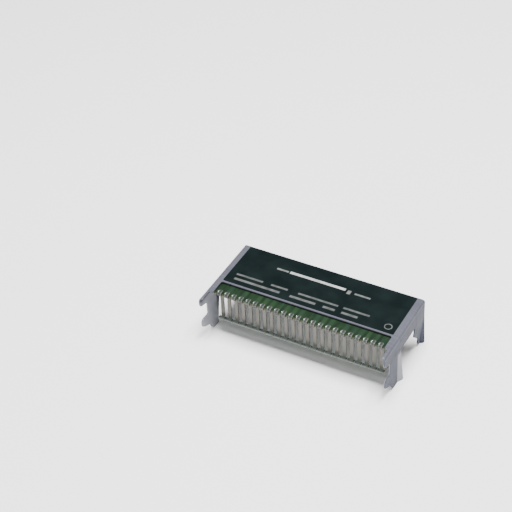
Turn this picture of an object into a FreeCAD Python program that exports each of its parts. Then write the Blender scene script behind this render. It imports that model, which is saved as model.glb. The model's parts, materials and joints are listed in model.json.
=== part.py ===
import FreeCAD, Part
import math
import os

from FreeCAD import Vector

os.makedirs("parts", exist_ok=True)

# A board-level dc-dc converter module that stands on the four legs of its folded metal case.
# Everything is drawn with the label face down, as on a bench: X runs along the module, Y is the
# depth forward from the back edge of the case, and Z is the drop below the outer face of the plate.
# Each solid is turned upright as it is written: label up, pins on the -Y side, legs down.

# Case, a single folded sheet of tinned metal
case_length = 80.2
sheet = 0.5
fold_radius = 1.0
plate_depth = 24.5
leg_drop = 22.2
wall_drop = 7.2
arm_width = 3.0
arm_depth = 31.6
prong_curl = 1.5

# Outline of each end wall, as depth and drop
front_reach = 37.8
top_prong_drop = 4.3
top_notch_depth = 32.5
top_notch_drop = 5.8
leg_front_depth = 32.4
side_prong_root = 12.0
side_prong_top = 11.6
side_prong_depth = 37.3
side_prong_low = 15.2
side_prong_width = 3.7
fork_depth = 31.1
fork_drop = 18.3
fork_step = 0.7
front_leg_rear = 22.8
front_leg_crease = 25.2
front_leg_flare = 1.4
back_leg_width = 3.5
back_leg_crease = 1.2
back_leg_lean = 1.1
back_leg_flare = 0.5
shoulder_depth = 9.1
shoulder_drop = 12.3
shoulder_foot = 17.8
shoulder_step = 0.1
tip_radius = 1.6
round_tip_radius = 3.5
back_tip_radius = 2.6
corner_radius = 0.7

# Label and insulating pad
label_thickness = 0.15
label_end_margin = 3.0
label_back_margin = 0.4
label_front_margin = 0.9
label_corner = 0.5
pad_thickness = 0.5
pad_end_margin = 4.0
pad_edge_margin = 1.5

# Circuit board
board_end_gap = 1.8
board_length = case_length - 2 * sheet - 2 * board_end_gap
layout_length = 75.6
board_back = 1.0
board_front = 30.2
board_thickness = 1.0
board_corner = 0.4

# Terminal pins, clipped to the front edge of the board
pin_pitch = 3.175
pin_end_margin = 2.4
pin_count = int((board_length - 2 * pin_end_margin) / pin_pitch) + 1
pin_width = 1.6
pin_thickness = 0.4
pin_bend = 0.4
clip_grip = 1.7
finger_end_flat = 0.2
stem_setback = 1.7
pin_drop = 14.6
foot_length = 2.0
foot_width = 2.9

# Power inductor
inductor_x = -10.4
inductor_depth = 12.8
inductor_size = 13.0
inductor_corner = 1.6
inductor_base_height = 0.8
shield_height = 4.6
shield_bore = 11.6
drum_clearance = 0.3
drum_flange = 1.1
drum_bevel = 0.25
drum_waist = 5.0
winding_gap = 0.3
drum_rise = 0.3
face_dish = 0.25
inductor_terminal_width = 7.0
inductor_terminal_sheet = 0.25
inductor_terminal_reach = 1.1

# Integrated circuits: x and depth of the middle, body size, height and leads
lead_sheet = 0.15
lead_reach = 1.0
lead_knee = 0.4
body_gap = 0.1
draft = 0.12

controller_x = 19.6
controller_depth = 7.2
controller_width = 4.0
controller_length = 10.6
controller_height = 1.1
controller_lead_count = 12
controller_pitch = 0.8
controller_lead_width = 0.3

driver_x = 3.6
driver_depth = 8.4
driver_width = 3.9
driver_length = 4.9
driver_height = 1.5
driver_lead_count = 4
driver_pitch = 1.27
driver_lead_width = 0.42

switch_x = 15.4
switch_depth = 21.8
switch_width = 3.9
switch_length = 5.8
switch_height = 1.5

# Chip parts: block sizes are length between the ends, width and height
cap_wrap = 0.04
ceramic_x = 8.7
ceramic_depth = 17.6
ceramic_count = 4
ceramic_block = (4.6, 3.0, 2.6)
ceramic_pitch = 3.1
ceramic_cap = 0.6

tantalum_x = -22.8
tantalum_depth = 20.4
tantalum_block = (3.5, 4.6, 1.9)
tantalum_cap = 0.5

shunt_x = -9.8
shunt_depth = 3.2
shunt_block = (7.0, 1.9, 0.6)
shunt_cap = 1.2

filter_x = 28.7
filter_depth = 2.9
filter_count = 9
filter_pitch = 2.15
filter_block = (3.2, 1.5, 1.0)
filter_cap = 0.55

timing_x = 24.6
timing_depth = 2.6
timing_count = 11
timing_pitch = 1.6
timing_block = (1.8, 0.9, 0.5)
timing_cap = 0.4

sense_x = 33.9
sense_depth = 3.4
sense_count = 8
sense_pitch = 2.6
sense_block = (2.2, 1.3, 0.6)
sense_cap = 0.45

feedback_x = -28.0
feedback_depth = 6.8
feedback_column_count = 5
feedback_row_count = 9
feedback_pitch_x = 2.0
feedback_pitch_depth = 2.0
feedback_block = (1.3, 0.8, 0.45)
feedback_cap = 0.3

bypass_places = (
    (10.3, 6.0),
    (13.2, 6.0),
    (10.6, 8.6),
    (13.6, 8.8),
    (13.4, 13.4),
    (13.4, 15.2),
    (-19.6, 7.0),
    (-22.1, 7.4),
    (-24.6, 7.9),
    (-1.2, 22.8),
    (-3.9, 23.0),
    (-2.4, 25.0),
    (3.2, 20.4),
    (3.2, 22.6),
)
bypass_block = (2.0, 1.25, 0.8)
bypass_cap = 0.4

# Levels below the outer face of the plate
board_top = sheet + pad_thickness
board_face = board_top + board_thickness


# Drawing helpers


def side_view(x):
    return lambda depth, drop: Vector(x, depth, drop)


def end_view(depth):
    return lambda x, drop: Vector(x, depth, drop)


def plan_view(drop):
    return lambda x, depth: Vector(x, depth, drop)


def corner_arc(before, corner, after, radius):
    """Points where an arc of this radius leaves and meets the two lines of a corner, and its middle."""
    ax, ay = before[0] - corner[0], before[1] - corner[1]
    bx, by = after[0] - corner[0], after[1] - corner[1]
    a_length = math.hypot(ax, ay)
    b_length = math.hypot(bx, by)
    ax, ay, bx, by = ax / a_length, ay / a_length, bx / b_length, by / b_length
    half = math.acos(max(-1.0, min(1.0, ax * bx + ay * by))) / 2
    along = radius / math.tan(half)
    mx, my = ax + bx, ay + by
    m_length = math.hypot(mx, my)
    mx, my = mx / m_length, my / m_length
    centre_distance = radius / math.sin(half)
    centre = (corner[0] + mx * centre_distance, corner[1] + my * centre_distance)
    start = (corner[0] + ax * along, corner[1] + ay * along)
    end = (corner[0] + bx * along, corner[1] + by * along)
    middle = (centre[0] - mx * radius, centre[1] - my * radius)
    return start, middle, end


def rounded_face(corners, view):
    """A face from corners given as (x, y, radius)."""
    edges = []
    count = len(corners)
    ends = []
    for i, (x, y, radius) in enumerate(corners):
        if radius > 0:
            ends.append(corner_arc(corners[i - 1], (x, y), corners[(i + 1) % count], radius))
        else:
            ends.append(((x, y), None, (x, y)))
    for i, (start, middle, end) in enumerate(ends):
        if middle is not None:
            edges.append(Part.Arc(view(*start), view(*middle), view(*end)).toShape())
        following = ends[(i + 1) % count][0]
        if math.dist(end, following) > 1e-6:
            edges.append(Part.LineSegment(view(*end), view(*following)).toShape())
    return Part.Face(Part.Wire(edges))


def offset_point(point, start, end, distance):
    """The point moved sideways, to the left of the line from start to end."""
    dx, dy = end[0] - start[0], end[1] - start[1]
    length = math.hypot(dx, dy)
    return (point[0] - dy / length * distance, point[1] + dx / length * distance)


def strip_side(path, radius, distance):
    """One side of a bent strip: a list of lines and arcs, each as its points."""
    pieces = []
    last = offset_point(path[0], path[0], path[1], distance)
    for i in range(1, len(path) - 1):
        start, middle, end = corner_arc(path[i - 1], path[i], path[i + 1], radius)
        centre_x = middle[0] + (start[0] + end[0] - 2 * middle[0]) * 0.5
        centre_y = middle[1] + (start[1] + end[1] - 2 * middle[1]) * 0.5
        toward = math.hypot(centre_x - middle[0], centre_y - middle[1])
        turn = (path[i][0] - path[i - 1][0]) * (path[i + 1][1] - path[i][1])
        turn -= (path[i][1] - path[i - 1][1]) * (path[i + 1][0] - path[i][0])
        inward = distance if turn > 0 else -distance
        ux, uy = (centre_x - middle[0]) / toward, (centre_y - middle[1]) / toward
        arc_start = offset_point(start, path[i - 1], path[i], distance)
        arc_middle = (middle[0] + ux * inward, middle[1] + uy * inward)
        arc_end = offset_point(end, path[i], path[i + 1], distance)
        pieces.append((last, arc_start))
        pieces.append((arc_start, arc_middle, arc_end))
        last = arc_end
    pieces.append((last, offset_point(path[-1], path[-2], path[-1], distance)))
    return pieces


def strip_face(path, radius, thickness, view):
    """The section of a sheet bent along a path of its middle line."""
    near = strip_side(path, radius, thickness / 2)
    far = [tuple(reversed(piece)) for piece in reversed(strip_side(path, radius, -thickness / 2))]
    loop = near + [(near[-1][-1], far[0][0])] + far + [(far[-1][-1], near[0][0])]
    edges = []
    for piece in loop:
        points = [view(*point) for point in piece]
        if len(points) == 3:
            edges.append(Part.Arc(*points).toShape())
        else:
            edges.append(Part.LineSegment(*points).toShape())
    return Part.Face(Part.Wire(edges))


def sharp_strip(path, thickness, view):
    """The section of a thin strip with sharp bends, along a path of level and upright lines."""
    near = []
    far = []
    for i, point in enumerate(path):
        before = path[max(i - 1, 0)]
        after = path[min(i + 1, len(path) - 1)]
        into = offset_point((0, 0), before, point, thickness / 2) if i > 0 else None
        out = offset_point((0, 0), point, after, thickness / 2) if i < len(path) - 1 else None
        if into is None or out is None:
            dx, dy = into or out
        else:
            dx, dy = into[0] + out[0], into[1] + out[1]
        near.append((point[0] + dx, point[1] + dy))
        far.append((point[0] - dx, point[1] - dy))
    points = [view(*point) for point in near + far[::-1]]
    return Part.Face(Part.makePolygon(points + [points[0]]))


def block(x0, x1, y0, y1, z0, z1):
    return Part.makeBox(x1 - x0, y1 - y0, z1 - z0, Vector(x0, y0, z0))


def ring(x, y, z, outer, inner, height):
    outside = Part.makeCylinder(outer / 2, height, Vector(x, y, z))
    return outside.cut(Part.makeCylinder(inner / 2, height, Vector(x, y, z)))


# Case shell


def wall_outline():
    """Both end walls share this outline: prongs forward, a fork on the front leg, and the back leg."""
    return (
        (0, 0, 0),
        (front_reach, 0, tip_radius),
        (front_reach, top_prong_drop, tip_radius),
        (top_notch_depth, top_notch_drop, corner_radius),
        (leg_front_depth, side_prong_root, corner_radius),
        (side_prong_depth, side_prong_top, tip_radius),
        (side_prong_depth, side_prong_low, tip_radius),
        (fork_depth + side_prong_width, side_prong_low + tip_radius, tip_radius),
        (fork_depth, fork_drop, corner_radius),
        (fork_depth - fork_step, leg_drop, round_tip_radius),
        (front_leg_rear, leg_drop, corner_radius),
        (front_leg_rear, wall_drop, corner_radius),
        (shoulder_depth, wall_drop, corner_radius),
        (shoulder_depth, shoulder_drop, tip_radius),
        (back_leg_width + shoulder_step, shoulder_foot, corner_radius),
        (back_leg_width, leg_drop, back_tip_radius),
        (0, leg_drop, corner_radius),
    )


def leg_panel(rear, front, side, rear_shift, front_shift):
    """A panel of a leg, in the wall at the top and shifted outward along its two edges at the foot."""
    outer = side * case_length / 2
    inner = outer - side * sheet
    rear_move = side * rear_shift
    front_move = side * front_shift
    upper = (
        Vector(inner, front, wall_drop),
        Vector(outer, front, wall_drop),
        Vector(outer, rear, wall_drop),
        Vector(inner, rear, wall_drop),
    )
    lower = (
        Vector(inner + front_move, front, leg_drop),
        Vector(outer + front_move, front, leg_drop),
        Vector(outer + rear_move, rear, leg_drop),
        Vector(inner + rear_move, rear, leg_drop),
    )
    sections = [Part.makePolygon(list(corners) + [corners[0]]) for corners in (upper, lower)]
    return Part.makeLoft(sections, True, True)


def bent_legs():
    """The creased strip of each front leg, and both panels of each back leg, which leans inward."""
    shoulder = shoulder_depth + 2 * corner_radius
    panels = []
    for side in (-1, 1):
        panels.append(leg_panel(front_leg_rear, front_leg_crease, side, front_leg_flare, 0))
        panels.append(leg_panel(0, back_leg_crease, side, back_leg_flare, -back_leg_lean))
        panels.append(leg_panel(back_leg_crease, shoulder, side, -back_leg_lean, -back_leg_lean))
    return panels


def case_shell():
    half = case_length / 2
    middle = sheet / 2
    path = ((-half + middle, leg_drop), (-half + middle, middle), (half - middle, middle), (half - middle, leg_drop))
    channel = strip_face(path, fold_radius - middle, sheet, end_view(0)).extrude(Vector(0, front_reach, 0))
    channel = channel.cut(block(-half, half, 0, shoulder_depth + 2 * corner_radius, wall_drop, leg_drop))
    channel = channel.cut(block(-half, half, front_leg_rear, front_leg_crease, wall_drop, leg_drop))
    shell = channel.fuse(bent_legs())
    reach = half + front_leg_flare + sheet
    outline = rounded_face(wall_outline(), side_view(-reach)).extrude(Vector(2 * reach, 0, 0))
    shell = shell.common(outline)
    window = half - arm_width
    curl = half - prong_curl
    front = rounded_face(
        (
            (-window, plate_depth, corner_radius),
            (window, plate_depth, corner_radius),
            (window, arm_depth, corner_radius),
            (curl, arm_depth, corner_radius),
            (curl, front_reach + sheet, 0),
            (-curl, front_reach + sheet, 0),
            (-curl, arm_depth, corner_radius),
            (-window, arm_depth, corner_radius),
        ),
        plan_view(-sheet),
    )
    return shell.cut(front.extrude(Vector(0, 0, fold_radius + 2 * sheet))).removeSplitter()


# Label, pad and board


def label():
    half = case_length / 2 - label_end_margin
    front = plate_depth - label_front_margin
    corners = (
        (-half, label_back_margin, label_corner),
        (half, label_back_margin, label_corner),
        (half, front, label_corner),
        (-half, front, label_corner),
    )
    return rounded_face(corners, plan_view(-label_thickness)).extrude(Vector(0, 0, label_thickness))


def insulating_pad():
    half = case_length / 2 - pad_end_margin
    return block(-half, half, board_back + pad_edge_margin, plate_depth - pad_edge_margin, sheet, board_top)


def circuit_board():
    half = board_length / 2
    corners = (
        (-half, board_back, board_corner),
        (half, board_back, board_corner),
        (half, board_front, board_corner),
        (-half, board_front, board_corner),
    )
    return rounded_face(corners, plan_view(board_top)).extrude(Vector(0, 0, board_thickness))


# Terminal pins


def finger_trim(x):
    """What is cut from the top finger of a pin to round off its end."""
    tip = board_front - clip_grip
    radius = (pin_width - finger_end_flat) / 2
    low = board_top - 2 * pin_thickness
    left, right = x - pin_width / 2, x + pin_width / 2
    front = tip + 2 * radius
    kept = rounded_face(
        ((left, tip, radius), (right, tip, radius), (right, front, 0), (left, front, 0)), plan_view(low)
    )
    around = block(left - pin_thickness, right + pin_thickness, tip - pin_thickness, tip + radius, low, board_top)
    return around.cut(kept.extrude(Vector(0, 0, board_top - low)))


def terminal_pin(index):
    """A strip that grips the edge of the board, runs back under it, drops and turns out into a wide foot."""
    x = (index - (pin_count - 1) / 2) * pin_pitch
    half_sheet = pin_thickness / 2
    grip = board_front + pin_bend
    stem = board_front - stem_setback
    foot = pin_drop - half_sheet
    path = (
        (board_front - clip_grip, board_top - half_sheet),
        (grip, board_top - half_sheet),
        (grip, board_face + half_sheet),
        (stem, board_face + half_sheet),
        (stem, foot),
        (stem + foot_length, foot),
    )
    left = x - pin_width / 2
    strip = strip_face(path, pin_bend, pin_thickness, side_view(left)).extrude(Vector(pin_width, 0, 0))
    paddle = block(
        x - foot_width / 2,
        x + foot_width / 2,
        stem + pin_bend,
        stem + foot_length,
        pin_drop - pin_thickness,
        pin_drop,
    )
    return strip.cut(finger_trim(x)).fuse(paddle).removeSplitter()


# Power inductor


def inductor_levels():
    base_low = board_face + inductor_terminal_sheet
    base_top = base_low + inductor_base_height
    return base_low, base_top


def square_outline(size, radius, drop):
    middle = along(inductor_x)
    low_x, high_x = middle - size / 2, middle + size / 2
    low_y, high_y = inductor_depth - size / 2, inductor_depth + size / 2
    corners = (
        (low_x, low_y, radius),
        (high_x, low_y, radius),
        (high_x, high_y, radius),
        (low_x, high_y, radius),
    )
    return rounded_face(corners, plan_view(drop))


def inductor_base():
    base_low, base_top = inductor_levels()
    return square_outline(inductor_size, inductor_corner, base_low).extrude(Vector(0, 0, base_top - base_low))


def inductor_shield():
    base_top = inductor_levels()[1]
    body = square_outline(inductor_size, inductor_corner, base_top).extrude(Vector(0, 0, shield_height))
    bore = Part.makeCylinder(shield_bore / 2, shield_height, Vector(along(inductor_x), inductor_depth, base_top))
    return body.cut(bore)


def inductor_drum():
    """A turned ferrite drum: two flanges, a waist and a shallow dish in its outer face."""
    base_top = inductor_levels()[1]
    height = shield_height + drum_rise
    outer = shield_bore / 2 - drum_clearance
    waist = drum_waist / 2
    bevel = drum_bevel
    profile = (
        (0, 0),
        (outer, 0),
        (outer, drum_flange),
        (waist, drum_flange),
        (waist, height - drum_flange),
        (outer, height - drum_flange),
        (outer, height - bevel),
        (outer - bevel, height),
        (outer - 3 * bevel, height),
        (outer - 4 * bevel, height - face_dish),
        (0, height - face_dish),
    )
    middle = along(inductor_x)
    points = [Vector(middle + radius, inductor_depth, base_top + level) for radius, level in profile]
    face = Part.Face(Part.makePolygon(points + [points[0]]))
    return face.revolve(Vector(middle, inductor_depth, 0), Vector(0, 0, 1), 360)


def inductor_winding():
    base_top = inductor_levels()[1]
    low = base_top + drum_flange
    height = shield_height + drum_rise - 2 * drum_flange
    outer = shield_bore - 2 * drum_clearance - 2 * winding_gap
    return ring(along(inductor_x), inductor_depth, low, outer, drum_waist, height)


def inductor_terminal(side):
    """A tinned strip under one edge of the base, folded up against its side."""
    base_low, base_top = inductor_levels()
    half_sheet = inductor_terminal_sheet / 2
    bend = inductor_terminal_sheet
    edge = inductor_depth + side * (inductor_size / 2 + bend)
    inside = edge - side * (inductor_terminal_reach + bend)
    path = ((inside, board_face + half_sheet), (edge, board_face + half_sheet), (edge, base_top))
    left = along(inductor_x) - inductor_terminal_width / 2
    section = strip_face(path, bend, inductor_terminal_sheet, side_view(left))
    return section.extrude(Vector(inductor_terminal_width, 0, 0))


# Integrated circuits


def ic_body(x, depth, width, length, height, along_depth):
    """A moulded body with drafted sides, standing a little off the board."""
    low = board_face + body_gap
    sections = []
    for level, shrink in ((0, draft), (height / 2, 0), (height, draft)):
        half_width = width / 2 - shrink
        half_length = length / 2 - shrink
        half_x, half_y = (half_width, half_length) if along_depth else (half_length, half_width)
        corners = [(-half_x, -half_y), (half_x, -half_y), (half_x, half_y), (-half_x, half_y)]
        points = [Vector(x + dx, depth + dy, low + level) for dx, dy in corners]
        sections.append(Part.makePolygon(points + [points[0]]))
    return Part.makeLoft(sections, True, True)


def ic_leads(x, depth, width, height, count, pitch, lead_width, along_depth):
    """Gull-wing leads on both long sides of a body."""
    half_sheet = lead_sheet / 2
    shoulder = board_face + body_gap + height / 2
    toe = board_face + half_sheet
    start = width / 2
    knee = start + lead_knee
    leads = []
    for side in (-1, 1):
        path = (
            (side * start, shoulder),
            (side * knee, shoulder),
            (side * knee, toe),
            (side * (start + lead_reach), toe),
        )
        for i in range(count):
            place = (i - (count - 1) / 2) * pitch - lead_width / 2
            section = sharp_strip(path, lead_sheet, end_view(place))
            lead = section.extrude(Vector(0, lead_width, 0))
            if not along_depth:
                lead.rotate(Vector(0, 0, 0), Vector(0, 0, 1), 90)
            lead.translate(Vector(x, depth, 0))
            leads.append(lead)
    return Part.makeCompound(leads)


# Chip parts


def chip(x, depth, size, cap):
    """A ceramic block between two metal end caps, lengthwise along X, seated on the board."""
    length, width, height = size
    body = block(
        x - length / 2 + cap,
        x + length / 2 - cap,
        depth - width / 2 + cap_wrap,
        depth + width / 2 - cap_wrap,
        board_face,
        board_face + height - cap_wrap,
    )
    ends = []
    for side in (-1, 1):
        inner = x + side * (length / 2 - cap)
        outer = x + side * length / 2
        low, high = min(inner, outer), max(inner, outer)
        ends.append(block(low, high, depth - width / 2, depth + width / 2, board_face, board_face + height))
    return body, ends


def chip_group(places, size, cap):
    bodies = []
    caps = []
    for x, depth in places:
        body, ends = chip(x, depth, size, cap)
        bodies.append(body)
        caps.extend(ends)
    return Part.makeCompound(bodies), Part.makeCompound(caps)


def along(x):
    """The layout keeps its spread when the board gets longer or shorter."""
    return x * board_length / layout_length


def column(x, depth, count, pitch):
    return [(along(x), depth + i * pitch) for i in range(count)]


def feedback_places():
    """A dense block of small parts with some places left empty, as a real layout has."""
    places = []
    for i in range(feedback_column_count):
        for j in range(feedback_row_count):
            if (2 * i + 3 * j) % 5 != 4:
                x = along(feedback_x - i * feedback_pitch_x)
                places.append((x, feedback_depth + j * feedback_pitch_depth))
    return places


# Writing the parts


def export(name, shape):
    """Turns a solid upright, centres it over the floor and writes it."""
    placed = shape.copy()
    placed.rotate(Vector(0, 0, 0), Vector(1, 0, 0), 180)
    placed.translate(Vector(0, front_reach / 2, leg_drop))
    placed.exportStep("parts/" + name + ".step")


def export_group(name, places, size, cap):
    bodies, caps = chip_group(places, size, cap)
    export(name + "_bodies", bodies)
    export(name + "_ends", caps)


def export_circuit(name, place, size, leads, along_depth):
    x, depth = along(place[0]), place[1]
    export(name + "_body", ic_body(x, depth, *size, along_depth))
    export(name + "_leads", ic_leads(x, depth, size[0], size[2], *leads, along_depth))


export("case_shell", case_shell())
export("label", label())
export("insulating_pad", insulating_pad())
export("circuit_board", circuit_board())

for index in range(pin_count):
    export("terminal_pin_%02d" % (index + 1), terminal_pin(index))

export("inductor_base", inductor_base())
export("inductor_shield", inductor_shield())
export("inductor_drum", inductor_drum())
export("inductor_winding", inductor_winding())
export("inductor_terminal_back", inductor_terminal(-1))
export("inductor_terminal_front", inductor_terminal(1))

export_circuit(
    "controller",
    (controller_x, controller_depth),
    (controller_width, controller_length, controller_height),
    (controller_lead_count, controller_pitch, controller_lead_width),
    True,
)
export_circuit(
    "driver",
    (driver_x, driver_depth),
    (driver_width, driver_length, driver_height),
    (driver_lead_count, driver_pitch, driver_lead_width),
    True,
)
export_circuit(
    "switch",
    (switch_x, switch_depth),
    (switch_width, switch_length, switch_height),
    (driver_lead_count, driver_pitch, driver_lead_width),
    False,
)

ceramic_start = ceramic_depth - (ceramic_count - 1) * ceramic_pitch / 2
ceramic_ends = []
for number, (x, depth) in enumerate(column(ceramic_x, ceramic_start, ceramic_count, ceramic_pitch)):
    body, ends = chip(x, depth, ceramic_block, ceramic_cap)
    export("ceramic_capacitor_%d" % (number + 1), body)
    ceramic_ends.extend(ends)
export("ceramic_capacitor_ends", Part.makeCompound(ceramic_ends))

export_group("tantalum_capacitor", [(along(tantalum_x), tantalum_depth)], tantalum_block, tantalum_cap)
export_group("shunt", [(along(shunt_x), shunt_depth)], shunt_block, shunt_cap)
export_group("filter_part", column(filter_x, filter_depth, filter_count, filter_pitch), filter_block, filter_cap)
export_group("timing_part", column(timing_x, timing_depth, timing_count, timing_pitch), timing_block, timing_cap)
export_group("sense_part", column(sense_x, sense_depth, sense_count, sense_pitch), sense_block, sense_cap)
export_group("feedback_part", feedback_places(), feedback_block, feedback_cap)
bypass_spots = [(along(x), depth) for x, depth in bypass_places]
export_group("bypass_part", bypass_spots, bypass_block, bypass_cap)
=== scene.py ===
import json

import bpy
from mathutils import Matrix, Vector


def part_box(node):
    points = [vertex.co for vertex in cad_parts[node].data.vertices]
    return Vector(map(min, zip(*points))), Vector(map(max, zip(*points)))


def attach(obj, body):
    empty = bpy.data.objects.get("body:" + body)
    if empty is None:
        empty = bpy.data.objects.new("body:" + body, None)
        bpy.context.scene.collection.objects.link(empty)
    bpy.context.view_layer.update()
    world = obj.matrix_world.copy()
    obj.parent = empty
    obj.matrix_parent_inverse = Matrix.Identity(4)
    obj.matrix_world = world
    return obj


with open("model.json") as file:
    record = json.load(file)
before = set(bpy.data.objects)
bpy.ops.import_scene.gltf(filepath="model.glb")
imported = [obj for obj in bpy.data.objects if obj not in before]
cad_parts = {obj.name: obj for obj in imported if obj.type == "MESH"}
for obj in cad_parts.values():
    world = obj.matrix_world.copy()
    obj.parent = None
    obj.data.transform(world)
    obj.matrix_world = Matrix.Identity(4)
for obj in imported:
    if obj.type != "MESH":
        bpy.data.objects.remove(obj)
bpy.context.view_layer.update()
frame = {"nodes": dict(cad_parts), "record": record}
nodes = frame["nodes"]

MM = 0.001


# Places read from the frame

board_low, board_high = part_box("circuit_board")
BOARD_FACE = board_low[2]
BOARD_TOP = board_high[2]
BOARD_FRONT = board_low[1]
PINS = sorted(name for name in nodes if name.startswith("terminal_pin"))


def centre(name):
    low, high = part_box(name)
    return [(low[axis] + high[axis]) / 2 for axis in range(3)]


PIN_PITCH = centre(PINS[1])[0] - centre(PINS[0])[0]
PIN_LOW, PIN_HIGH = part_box(PINS[0])
FINGER_TIP = PIN_HIGH[1]
FOOT_FRONT = PIN_LOW[1]
FOOT_BOTTOM = PIN_LOW[2]
PLATE_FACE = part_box("case_shell")[1][2]

# Places that the frame holds only as faces: the middle of a wall's sheet, where the legs begin under
# the wall, how far a back leg leans in at its foot, and the bent rear strip of a front leg along Y

SHEET_MIDDLE = 39.85 * MM
LEG_TOP = PLATE_FACE - 7.2 * MM
BACK_LEG_LEAN = 1.1 * MM
BACK_LEG_FRONT = 4.0 * MM
STRIP_FRONT = -6.3 * MM
STRIP_REAR = -3.9 * MM

# Solder round a finger: half the pin, the rim past it, and the mound and the bead over it

PIN_HALF = 0.8 * MM
SOLDER_RIM = 0.3 * MM
SOLDER_HEIGHT = 0.26 * MM
BEAD_OUTSIDE = 0.3 * MM
BEAD_INSIDE = 0.34 * MM
BEAD_DEPTH = 0.85 * MM
BEAD_HEIGHT = 0.56 * MM


# Shader maths


class Val:
    """A shader socket or a plain number, with arithmetic that adds Math nodes."""

    tree = None

    def __init__(self, socket):
        self.socket = socket

    @staticmethod
    def node(kind, settings, sockets, output=0):
        """Any node: its settings first, then the values or links of its sockets, by name or number."""
        made = Val.tree.nodes.new(kind)
        for name, value in settings.items():
            setattr(made, name, value)
        for name, value in sockets.items():
            if isinstance(value, Val):
                Val.tree.links.new(value.socket, made.inputs[name])
            else:
                made.inputs[name].default_value = value
        return Val(made.outputs[output])

    @staticmethod
    def math(operation, *values):
        return Val.node("ShaderNodeMath", {"operation": operation}, dict(enumerate(values)))

    def __add__(self, other):
        return Val.math("ADD", self, other)

    def __radd__(self, other):
        return Val.math("ADD", other, self)

    def __sub__(self, other):
        return Val.math("SUBTRACT", self, other)

    def __rsub__(self, other):
        return Val.math("SUBTRACT", other, self)

    def __mul__(self, other):
        return Val.math("MULTIPLY", self, other)

    def __rmul__(self, other):
        return Val.math("MULTIPLY", other, self)

    def __truediv__(self, other):
        return Val.math("DIVIDE", self, other)

    def __abs__(self):
        return Val.math("ABSOLUTE", self)

    def above(self, other):
        return Val.math("GREATER_THAN", self, other)

    def below(self, other):
        return Val.math("LESS_THAN", self, other)

    def most(self, other):
        return Val.math("MAXIMUM", self, other)

    def fraction(self):
        return Val.math("FRACT", self)


def object_point():
    return Val.node("ShaderNodeTexCoord", {}, {}, "Object")


def split(vector):
    return [Val.node("ShaderNodeSeparateXYZ", {}, {0: vector}, axis) for axis in range(3)]


def mix_colour(factor, first, second):
    sides = [value if isinstance(value, Val) else (*value, 1.0) for value in (first, second)]
    return Val.node("ShaderNodeMix", {"data_type": "RGBA"}, {0: factor, 6: sides[0], 7: sides[1]}, 2)


def noise(point, scale, detail=3.0):
    return Val.node("ShaderNodeTexNoise", {}, {"Vector": point, "Scale": scale, "Detail": detail}, "Fac")


def stretched(point, x, y, z):
    return Val.node("ShaderNodeMapping", {}, {"Vector": point, "Scale": (x, y, z)}, "Vector")


def ramp(value, low, high):
    """0 at low, 1 at high, straight between and level past both; low may be the greater."""
    return Val.node("ShaderNodeMapRange", {}, {"Value": value, "From Min": low, "From Max": high})


def bump(height, strength, distance):
    sockets = {"Strength": strength, "Distance": distance, "Height": height}
    return Val.node("ShaderNodeBump", {}, sockets, "Normal")


def distance_from(x, y, centre_x, centre_y):
    dx = x - centre_x * MM
    dy = y - centre_y * MM
    return Val.math("SQRT", dx * dx + dy * dy)


def material(name, build):
    """A Principled material; build returns its sockets, varying or constant."""
    made = bpy.data.materials.new(name)
    made.use_nodes = True
    Val.tree = made.node_tree
    shader = made.node_tree.nodes["Principled BSDF"]
    for socket, value in build().items():
        if isinstance(value, Val):
            Val.tree.links.new(value.socket, shader.inputs[socket])
        else:
            shader.inputs[socket].default_value = value
    return made


# Metal finishes


def case_places(x, y, z):
    """Masks of the outer faces, the inside of the front legs, a rear strip on the right for a painted
    highlight, and a band of the left rear strip for painted shade.
    """
    lean = ramp(z, LEG_TOP, 0.0) * ramp(y, BACK_LEG_FRONT - 2.0 * MM, BACK_LEG_FRONT) * BACK_LEG_LEAN
    sheet_face = ramp(abs(x) + lean, SHEET_MIDDLE - 0.08 * MM, SHEET_MIDDLE + 0.02 * MM)
    outer = sheet_face * ramp(z, PLATE_FACE - 0.1 * MM, PLATE_FACE - 1.6 * MM)
    ahead = ramp(y, STRIP_FRONT + 1.1 * MM, STRIP_FRONT - 0.1 * MM)
    inner = ramp(z, BOARD_FACE, BOARD_FACE - 1.0 * MM) * ahead * (1.0 - outer)
    strip = ramp(y, STRIP_FRONT - 0.7 * MM, STRIP_FRONT + 0.1 * MM)
    strip = strip * ramp(y, STRIP_REAR + 0.5 * MM, STRIP_REAR - 0.1 * MM)
    # Mask for a painted highlight on the outer face of the right leg's rear strip.
    highlit_strip = outer * strip * ramp(z, LEG_TOP, LEG_TOP - 1.5 * MM) * x.above(0.0)
    height = ramp(z, 4.5 * MM, 8.5 * MM) * ramp(z, LEG_TOP + 4.0 * MM, LEG_TOP)
    # The last mask marks a band of the left leg's rear strip for painted shade.
    return outer, inner, highlit_strip, strip * height * x.below(0.0)


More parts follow.
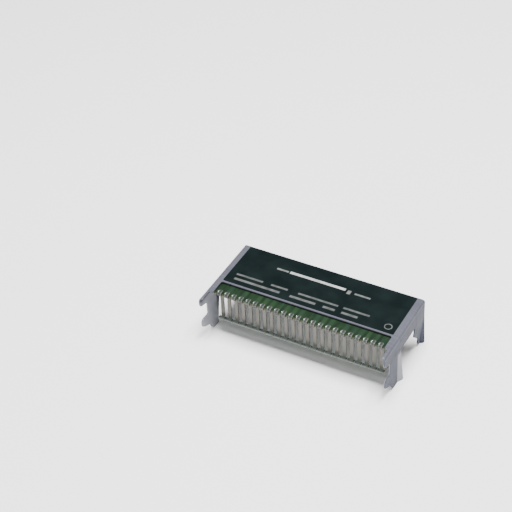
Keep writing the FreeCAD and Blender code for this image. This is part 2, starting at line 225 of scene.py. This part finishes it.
def case_metal():
    """Rolled tinplate: grain along the sheet, thin scratches, smudges and darker dipped leg tips;
    painted shade on the outer faces and the left leg's rear strip, painted light inside the front legs,
    and a painted highlight on the right leg's rear strip.
    """
    point = object_point()
    x, y, z = split(point)
    outer, inner, highlit_strip, stain_and_shade = case_places(x, y, z)
    cloud = noise(point, 110.0)
    grain = noise(stretched(point, 30.0, 2600.0, 30.0), 1.0, 2.0)
    scratches = ramp(noise(stretched(point, 60.0, 1500.0, 90.0), 1.0, 1.0), 0.68, 0.74)
    smudge = ramp(noise(point, 260.0, 5.0), 0.5, 0.72)
    plain = mix_colour(ramp(cloud, 0.3, 0.7), (0.06, 0.061, 0.08), (0.084, 0.085, 0.108))
    brushed = mix_colour(ramp(grain, 0.25, 0.75) * 0.55, plain, (0.11, 0.111, 0.137))
    marked = mix_colour(scratches * 0.35, brushed, (0.23, 0.232, 0.262))
    low_band = ramp(z, 3.6 * MM, 0.4 * MM)
    worn = mix_colour(smudge * 0.25, marked, (0.062, 0.062, 0.075))
    tipped = mix_colour(low_band * 0.45, worn, (0.055, 0.055, 0.063))
    # Painted shade: the outer faces of the walls and legs made darker.
    painted_outer_shade = mix_colour(outer * 0.72, tipped, (0.012, 0.016, 0.036))
    # Painted light: the inside of the front legs made paler.
    lit = mix_colour(inner * 0.8, painted_outer_shade, (0.3, 0.305, 0.34))
    # Painted highlight: the rear strip of the right front leg made paler.
    bright = mix_colour(highlit_strip * 0.65, lit, (0.34, 0.34, 0.36))
    # Painted shade: a band of the left leg's rear strip made darker.
    colour = mix_colour(stain_and_shade * 0.75, bright, (0.014, 0.016, 0.024))
    return {
        "Base Color": colour,
        "Metallic": 0.3,
        "Roughness": smudge * 0.12 + cloud * 0.1 + outer * 0.14 + 0.36,
        "Specular IOR Level": 0.3,
        "Normal": bump(grain * 0.7 + scratches * 0.6, 0.14, 0.00004),
    }


def pin_metal():
    """Tinned strip: warm stem with painted shade at its edges, brown flux and painted shade under the
    clip, a foot painted grey-green as shade and a reflection of the green board, painted shadow between
    the feet, and a finger with painted highlights on its sides.
    """
    point = object_point()
    x, y, z = split(point)
    cloud = noise(point, 520.0)
    streak = noise(stretched(point, 1400.0, 1400.0, 110.0), 1.0, 2.0)
    side = abs((x / PIN_PITCH + 0.5).fraction() - 0.5) * PIN_PITCH
    plain = mix_colour(ramp(streak, 0.3, 0.7), (0.082, 0.08, 0.07), (0.13, 0.127, 0.112))
    # Painted shade: the stem darker and browner towards its edges.
    stem = mix_colour(ramp(side, 0.35 * MM, 0.85 * MM) * 0.7, plain, (0.075, 0.065, 0.052))
    # Brown flux stain and painted shade just under the board, where the clip's bend shades the stem.
    flux_and_shade = ramp(z, BOARD_FACE - 3.0 * MM, BOARD_FACE - 0.6 * MM) * ramp(cloud, 0.35, 0.6)
    stain_and_shade = mix_colour(flux_and_shade * 0.75, stem, (0.045, 0.033, 0.027))
    # Painted shade and a painted reflection of the green board: the foot band made grey-green.
    low_band = ramp(z, FOOT_BOTTOM + 1.6 * MM, FOOT_BOTTOM + 0.4 * MM)
    footed = mix_colour(low_band * 0.9, stain_and_shade, (0.128, 0.146, 0.134))
    # Painted shadow: dark between the feet near their front ends.
    gap_shadow = ramp(side, 0.85 * MM, 1.15 * MM) * ramp(y, FOOT_FRONT + 0.7 * MM, FOOT_FRONT + 1.2 * MM)
    foot = mix_colour(gap_shadow * low_band * 0.75, footed, (0.016, 0.018, 0.017))
    finger = ramp(z, BOARD_FACE + 0.2 * MM, BOARD_TOP - 0.2 * MM)
    # Painted highlight: the finger paler at its sides than in its middle.
    edge_highlight = ramp(side, 0.3 * MM, 0.6 * MM) * (cloud * 0.6 + 0.5)
    tip = mix_colour(edge_highlight, (0.024, 0.03, 0.025), (0.105, 0.12, 0.108))
    colour = mix_colour(finger, foot, tip)
    return {
        "Base Color": colour,
        "Metallic": 0.45,
        "Roughness": cloud * 0.2 + streak * 0.1 + 0.3,
        "Normal": bump(streak, 0.1, 0.00003),
    }


def tinned_metal():
    point = object_point()
    cloud = noise(point, 1500.0)
    colour = mix_colour(ramp(cloud, 0.3, 0.7), (0.5, 0.5, 0.47), (0.72, 0.72, 0.69))
    return {"Base Color": colour, "Metallic": 0.6, "Roughness": cloud * 0.2 + 0.25}


def solder():
    """Set solder: a dull grey-green skirt with brown flux, and a bright bead above it, the bead's pale
    tone partly a painted highlight.
    """
    point = object_point()
    z = split(point)[2]
    cloud = noise(point, 1300.0)
    stain = ramp(noise(point, 430.0), 0.55, 0.7)
    skirt = mix_colour(cloud, (0.07, 0.092, 0.076), (0.2, 0.23, 0.2))
    stain_and_shade = mix_colour(stain * 0.6, skirt, (0.1, 0.07, 0.05))
    # The bead: bright solder with a painted highlight, paler than the skirt above a height.
    bead = ramp(z, BOARD_TOP + SOLDER_HEIGHT, BOARD_TOP + SOLDER_HEIGHT + 0.25 * MM)
    colour = mix_colour(bead, stain_and_shade, (0.62, 0.63, 0.62))
    return {
        "Base Color": colour,
        "Metallic": 0.75,
        "Roughness": cloud * 0.14 + 0.16,
        "Normal": bump(cloud, 0.2, 0.00005),
    }


def copper_wire():
    """Enamelled turns, one band to each turn."""
    point = object_point()
    sockets = {"Vector": point, "Scale": 500.0}
    turns = Val.node("ShaderNodeTexWave", {"bands_direction": "Z"}, sockets, "Fac")
    return {
        "Base Color": mix_colour(turns, (0.16, 0.06, 0.02), (0.5, 0.22, 0.08)),
        "Metallic": 0.6,
        "Roughness": turns * 0.1 + 0.3,
        "Normal": bump(turns, 0.6, 0.0001),
    }


# Label, pad and board

# Plain bars: left end, right end, middle and width in millimetres, and how pale each one is
LABEL_BARS = (
    (-20.9, -15.4, 10.9, 0.9, 0.3),
    (-15.0, 9.8, 10.95, 1.25, 0.85),
    (10.6, 12.4, 10.1, 2.2, 0.3),
    (13.8, 20.9, 10.2, 0.9, 0.25),
    (-34.0, -21.8, 0.9, 1.0, 0.17),
    (-18.4, -10.7, 0.9, 1.0, 0.17),
    (-6.3, 11.4, 0.9, 1.0, 0.17),
    (13.4, 24.9, 0.9, 1.0, 0.17),
    (-33.6, -12.9, -1.9, 1.2, 0.19),
    (-8.7, 2.8, -1.9, 1.2, 0.19),
    (5.8, 11.3, -1.9, 1.2, 0.17),
    (13.8, 21.0, -1.9, 1.2, 0.17),
)

# The ring: its middle, radius and half its line's width in millimetres
LABEL_RING = (33.6, -1.4, 1.45, 0.2)

# How far a bar fades at its ends and at each side, in millimetres
BAR_END_FADE = 0.3
BAR_SIDE_FADE = 0.12


def bar(x, y, left, right, middle, width):
    """1 on a soft-edged rectangle of the label, from left to right, width tall about its middle line."""
    half_length = (right - left) / 2
    half_width = width / 2
    along = abs(x - (left + right) / 2 * MM)
    across = abs(y - middle * MM)
    ends = ramp(along, half_length * MM, (half_length - BAR_END_FADE) * MM)
    sides = ramp(across, (half_width + BAR_SIDE_FADE) * MM, (half_width - BAR_SIDE_FADE) * MM)
    return ends * sides


def label_film():
    """Near-black film with plain pale bars and one plain ring, both mottled and a little worn."""
    point = object_point()
    x, y = split(point)[:2]
    mottle = noise(point, 140.0)
    weave = noise(point, 2600.0, 2.0)
    film = mix_colour(ramp(mottle, 0.35, 0.7), (0.0022, 0.005, 0.0052), (0.0045, 0.0085, 0.0085))
    ink = 0.0
    for left, right, middle, width, pale in LABEL_BARS:
        ink = bar(x, y, left, right, middle, width) * pale + ink
    ring_x, ring_y, radius, half_width = LABEL_RING
    ring = abs(distance_from(x, y, ring_x, ring_y) - radius * MM).below(half_width * MM)
    mottled = ramp(noise(stretched(point, 420.0, 420.0, 0.0), 1.0, 1.0), 0.3, 0.65)
    worn = ramp(noise(point, 900.0, 2.0), 0.3, 0.62)
    ink = (ink * (mottled * 0.4 + 0.5)).most(ring * 0.17 * (worn * 0.4 + 0.6))
    return {
        "Base Color": mix_colour(ink, film, (0.5, 0.51, 0.5)),
        "Roughness": mottle * 0.1 + 0.4,
        "Specular IOR Level": 0.06,
        "Normal": bump(weave, 0.08, 0.00002),
    }


def pad_plastic():
    cloud = noise(object_point(), 300.0)
    colour = mix_colour(cloud, (0.4, 0.4, 0.37), (0.5, 0.5, 0.46))
    return {"Base Color": colour, "Roughness": cloud * 0.1 + 0.55}


def traces_above(point, x):
    """The mask-covered copper of the front strip: broad tracks to the pins, with bare gaps."""
    along = (x / PIN_PITCH + 0.5).fraction()
    lanes = ramp(abs(along - 0.5), 0.36, 0.2)
    patches = ramp(noise(point, 150.0, 3.0), 0.38, 0.6)
    missing = ramp(noise(stretched(point, 150.0, 0.0, 0.0), 1.0, 1.0), 0.4, 0.5)
    weave = noise(stretched(point, 700.0, 160.0, 900.0), 1.0, 3.0)
    base = mix_colour(ramp(weave, 0.3, 0.7), (0.004, 0.01, 0.005), (0.009, 0.024, 0.01))
    tracks = mix_colour(patches, (0.015, 0.036, 0.014), (0.011, 0.026, 0.016))
    return mix_colour(lanes * missing * 0.8, base, tracks)


TRACK_ROW_PITCH = 1.3 * MM
TRACK_COLUMN_PITCH = 1.5 * MM


def traces_below(point, x, y):
    """The underside: tracks along and across in patches, and a scatter of small vias."""
    flat = stretched(point, 1.0, 1.0, 0.0)
    patch = noise(flat, 95.0, 1.0)
    fine = noise(stretched(point, 220.0, 220.0, 0.0), 1.0, 1.0)
    rows = abs((y / TRACK_ROW_PITCH).fraction() - 0.5).below(0.2)
    columns = abs((x / TRACK_COLUMN_PITCH).fraction() - 0.5).below(0.18)
    tracks = rows * patch.above(0.53) + columns * patch.below(0.44)
    tracks = tracks * fine.above(0.42)
    pour = ramp(noise(flat, 60.0, 1.0), 0.5, 0.52)
    base = mix_colour(pour * 0.6, (0.017, 0.056, 0.035), (0.028, 0.092, 0.058))
    tracked = mix_colour(tracks * 0.8, base, (0.042, 0.135, 0.082))
    sockets = {"Vector": point, "Scale": 260.0, "Randomness": 0.85}
    cells = Val.node("ShaderNodeTexVoronoi", {"voronoi_dimensions": "2D"}, sockets, "Distance")
    vias = cells.below(0.085)
    return mix_colour(vias * 0.85, tracked, (0.3, 0.31, 0.27))


def board_laminate():
    point = object_point()
    x, y, z = split(point)
    top = z.above(BOARD_TOP - 0.1 * MM)
    bottom = z.below(BOARD_FACE + 0.1 * MM)
    sheen = noise(point, 800.0, 2.0)
    edge = mix_colour(sheen, (0.035, 0.04, 0.018), (0.06, 0.065, 0.03))
    covered = mix_colour(bottom, edge, traces_below(point, x, y))
    return {
        "Base Color": mix_colour(top, covered, traces_above(point, x)),
        "Roughness": sheen * 0.2 + 0.32,
        "Specular IOR Level": 0.12,
        "Normal": bump(sheen, 0.12, 0.00003),
    }


# Parts on the board


# A dimple's radius and its inset from the corner of a body, and a stacked block's layers, in millimetres
DOT_RADIUS = 0.32
DOT_INSET = 0.8
LAYER_PITCH = 0.64


def pin_one_dots(x, y):
    """A shallow round dimple by the first lead of each moulded body."""
    marks = 0.0
    for name in ("controller_body", "driver_body", "switch_body"):
        low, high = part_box(name)
        dot_x = low[0] / MM + DOT_INSET
        dot_y = high[1] / MM - DOT_INSET
        marks = distance_from(x, y, dot_x, dot_y).below(DOT_RADIUS * MM) + marks
    return marks


def moulding_dark():
    point = object_point()
    x, y, z = split(point)
    cloud = noise(point, 900.0)
    dots = pin_one_dots(x, y) * z.below(BOARD_FACE - 0.9 * MM)
    plain = mix_colour(cloud, (0.055, 0.06, 0.065), (0.1, 0.105, 0.11))
    return {
        "Base Color": mix_colour(dots * 0.6, plain, (0.03, 0.03, 0.032)),
        "Roughness": cloud * 0.15 + 0.48,
        "Normal": bump(cloud * 0.3 - dots, 0.2, 0.00006),
    }


def ferrite():
    """Pressed ferrite: blue-grey, finely pitted, with chipped pale grains."""
    point = object_point()
    cloud = noise(point, 380.0)
    pits = ramp(noise(point, 2400.0, 1.0), 0.6, 0.72)
    plain = mix_colour(ramp(cloud, 0.3, 0.7), (0.075, 0.095, 0.11), (0.135, 0.165, 0.185))
    return {
        "Base Color": mix_colour(pits * 0.35, plain, (0.26, 0.29, 0.3)),
        "Roughness": cloud * 0.2 + 0.38,
        "Normal": bump(cloud * 0.5 - pits * 0.5, 0.25, 0.00005),
    }


def ceramic(low, high, layers):
    """Fired ceramic between two tones; layers says how dark the thin lines of a stacked block are."""

    def build():
        point = object_point()
        z = split(point)[2]
        cloud = noise(point, 1200.0)
        lines = abs((z / (LAYER_PITCH * MM)).fraction() - 0.5).above(0.44) * layers
        return {
            "Base Color": mix_colour(lines, mix_colour(cloud, low, high), (0.06, 0.04, 0.03)),
            "Roughness": cloud * 0.2 + 0.38,
            "Normal": bump(cloud, 0.12, 0.00003),
        }

    return build


finishes = {
    "case_metal": material("case_metal", case_metal),
    "label_film": material("label_film", label_film),
    "pad_plastic": material("pad_plastic", pad_plastic),
    "board_laminate": material("board_laminate", board_laminate),
    "tinned_metal": material("tinned_metal", tinned_metal),
    "moulding_dark": material("moulding_dark", moulding_dark),
    "ferrite": material("ferrite", ferrite),
    "copper_wire": material("copper_wire", copper_wire),
    "ceramic_tan": material("ceramic_tan", ceramic((0.3, 0.2, 0.11), (0.42, 0.29, 0.17), 0.7)),
    "ceramic_orange": material("ceramic_orange", ceramic((0.5, 0.2, 0.05), (0.62, 0.28, 0.08), 0.0)),
    "ceramic_dark": material("ceramic_dark", ceramic((0.03, 0.026, 0.022), (0.075, 0.06, 0.05), 0.0)),
    "ceramic_cream": material("ceramic_cream", ceramic((0.42, 0.36, 0.26), (0.6, 0.53, 0.4), 0.0)),
}
pin_finish = material("pin_metal", pin_metal)
solder_finish = material("solder", solder)

for entry in frame["record"]["subparts"]:
    piece = nodes[entry["node"]]
    piece.data.materials.clear()
    if entry["node"] in PINS:
        piece.data.materials.append(pin_finish)
    else:
        piece.data.materials.append(finishes[entry["material_slot"]])


# Solder on the pins


def pick_faces(piece, test):
    """Edit mode with only the faces that pass the test selected."""
    bpy.ops.object.mode_set(mode="OBJECT")
    for part in (piece.data.vertices, piece.data.edges, piece.data.polygons):
        for item in part:
            item.select = False
    for face in piece.data.polygons:
        face.select = test(face)
    bpy.ops.object.mode_set(mode="EDIT")


def start_box(name, low, high):
    bpy.ops.object.select_all(action="DESELECT")
    place = [(low[axis] + high[axis]) / 2 for axis in range(3)]
    bpy.ops.mesh.primitive_cube_add(size=1.0, location=place)
    piece = bpy.context.object
    piece.name = name
    piece.scale = [high[axis] - low[axis] for axis in range(3)]
    bpy.ops.object.transform_apply(location=True, rotation=True, scale=True)
    return piece


def smooth_out(piece, levels):
    modifier = piece.modifiers.new("smooth", "SUBSURF")
    modifier.levels = levels
    modifier.render_levels = levels
    bpy.ops.object.modifier_apply(modifier=modifier.name)
    bpy.ops.object.shade_smooth()


def solder_mound(name, x, outward, level):
    """A low fillet round a finger on one face of the board, drawn in to a narrower crown."""
    crown = level + outward * SOLDER_HEIGHT
    low = (x - PIN_HALF - SOLDER_RIM, BOARD_FRONT + 0.1 * MM, min(level, crown))
    high = (x + PIN_HALF + SOLDER_RIM * 0.5, FINGER_TIP + SOLDER_RIM, max(level, crown))
    piece = start_box(name, low, high)
    pick_faces(piece, lambda face: face.normal.z * outward > 0.9)
    bpy.ops.transform.resize(value=(0.72, 0.78, 1.0))
    bpy.ops.mesh.inset(thickness=0.2 * MM, depth=0.05 * MM)
    pick_faces(piece, lambda face: face.normal.z * outward < -0.9)
    bpy.ops.mesh.inset(thickness=0.1 * MM)
    bpy.ops.object.mode_set(mode="OBJECT")
    smooth_out(piece, 2)
    return piece


def solder_bead(name, x, level):
    """The bead that stands on the fillet at the left front corner of a finger."""
    low = (x - PIN_HALF - BEAD_OUTSIDE, BOARD_FRONT + 0.02 * MM, level - 0.1 * MM)
    high = (x - PIN_HALF + BEAD_INSIDE, BOARD_FRONT + BEAD_DEPTH, level + BEAD_HEIGHT)
    piece = start_box(name, low, high)
    pick_faces(piece, lambda face: face.normal.z > 0.9)
    bpy.ops.mesh.inset(thickness=0.12 * MM, depth=0.06 * MM)
    bpy.ops.transform.translate(value=(0.06 * MM, 0.08 * MM, 0.0))
    bpy.ops.object.mode_set(mode="OBJECT")
    smooth_out(piece, 2)
    return piece


def pin_solder():
    """All the solder of the first pin, as one mesh."""
    x = centre(PINS[0])[0]
    upper = solder_mound("solder_upper", x, 1.0, BOARD_TOP)
    bead = solder_bead("solder_bead", x, BOARD_TOP)
    lower = solder_mound("solder_lower", x, -1.0, BOARD_FACE)
    bpy.ops.object.select_all(action="DESELECT")
    for part in (bead, lower, upper):
        part.select_set(True)
    bpy.context.view_layer.objects.active = upper
    bpy.ops.object.join()
    upper.name = "pin_solder_01"
    upper.data.materials.append(solder_finish)
    return upper


def solder_all_pins():
    first = pin_solder()
    pieces = [first]
    for index in range(1, len(PINS)):
        piece = first.copy()
        piece.data = first.data.copy()
        piece.name = "pin_solder_%02d" % (index + 1)
        piece.data.transform(Matrix.Translation((index * PIN_PITCH, 0.0, 0.0)))
        bpy.context.collection.objects.link(piece)
        pieces.append(piece)
    for piece in pieces:
        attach(piece, "root")


solder_all_pins()


# Stage: floor, light and camera

FLOOR_SIZE = 6.0
WORLD_STRENGTH = 0.22

# Name, place, target, size and watts of each area light
LIGHTS = (
    ("key", (0.1, 0.02, 0.92), (0, 0, 0), 0.5, 32.0),
    ("right", (0.62, -0.72, 0.22), (0, 0, 0.01), 0.3, 1.6),
    ("front", (-0.1, -0.9, 0.16), (0, 0, 0.01), 0.35, 3.2),
)

# The camera fitted to the photo: its focal length in pixels of a 512 pixel picture, and its place
PICTURE_WIDTH_PX = 512.0
SENSOR_WIDTH_MM = 36.0
CAMERA_FOCAL_PX = 1400.0
CAMERA_MATRIX = (
    (0.877581, -0.273913, 0.393476, 0.191898),
    (0.477575, 0.571547, -0.667275, -0.366067),
    (-0.042115, 0.773502, 0.632393, 0.382654),
    (0.000000, 0.000000, 0.000000, 1.000000),
)


def stage_floor():
    bpy.ops.object.select_all(action="DESELECT")
    bpy.ops.mesh.primitive_plane_add(size=FLOOR_SIZE, location=(0, 0, 0))
    floor = bpy.context.object
    floor.name = "floor"

    def build():
        cloud = noise(object_point(), 3.0)
        colour = mix_colour(cloud, (0.88, 0.88, 0.88), (0.92, 0.92, 0.92))
        return {"Base Color": colour, "Roughness": 0.8}

    floor.data.materials.append(material("floor_paper", build))


def area_light(name, place, target, size, watts):
    data = bpy.data.lights.new(name, "AREA")
    data.size = size
    data.energy = watts
    light = bpy.data.objects.new(name, data)
    light.location = place
    aim = Vector(target) - Vector(place)
    light.rotation_euler = aim.to_track_quat("-Z", "Y").to_euler()
    bpy.context.collection.objects.link(light)


def studio_world():
    world = bpy.data.worlds.new("studio")
    bpy.context.scene.world = world
    world.use_nodes = True
    background = world.node_tree.nodes["Background"]
    background.inputs["Color"].default_value = (1.0, 1.0, 1.0, 1.0)
    background.inputs["Strength"].default_value = WORLD_STRENGTH


def stage_camera():
    data = bpy.data.cameras.new("camera")
    data.sensor_width = SENSOR_WIDTH_MM
    data.lens = CAMERA_FOCAL_PX * SENSOR_WIDTH_MM / PICTURE_WIDTH_PX
    data.clip_start = 0.01
    data.clip_end = 20.0
    camera = bpy.data.objects.new("camera", data)
    camera.matrix_world = Matrix(CAMERA_MATRIX)
    bpy.context.collection.objects.link(camera)
    bpy.context.scene.camera = camera


stage_floor()
for light in LIGHTS:
    area_light(*light)
studio_world()
stage_camera()
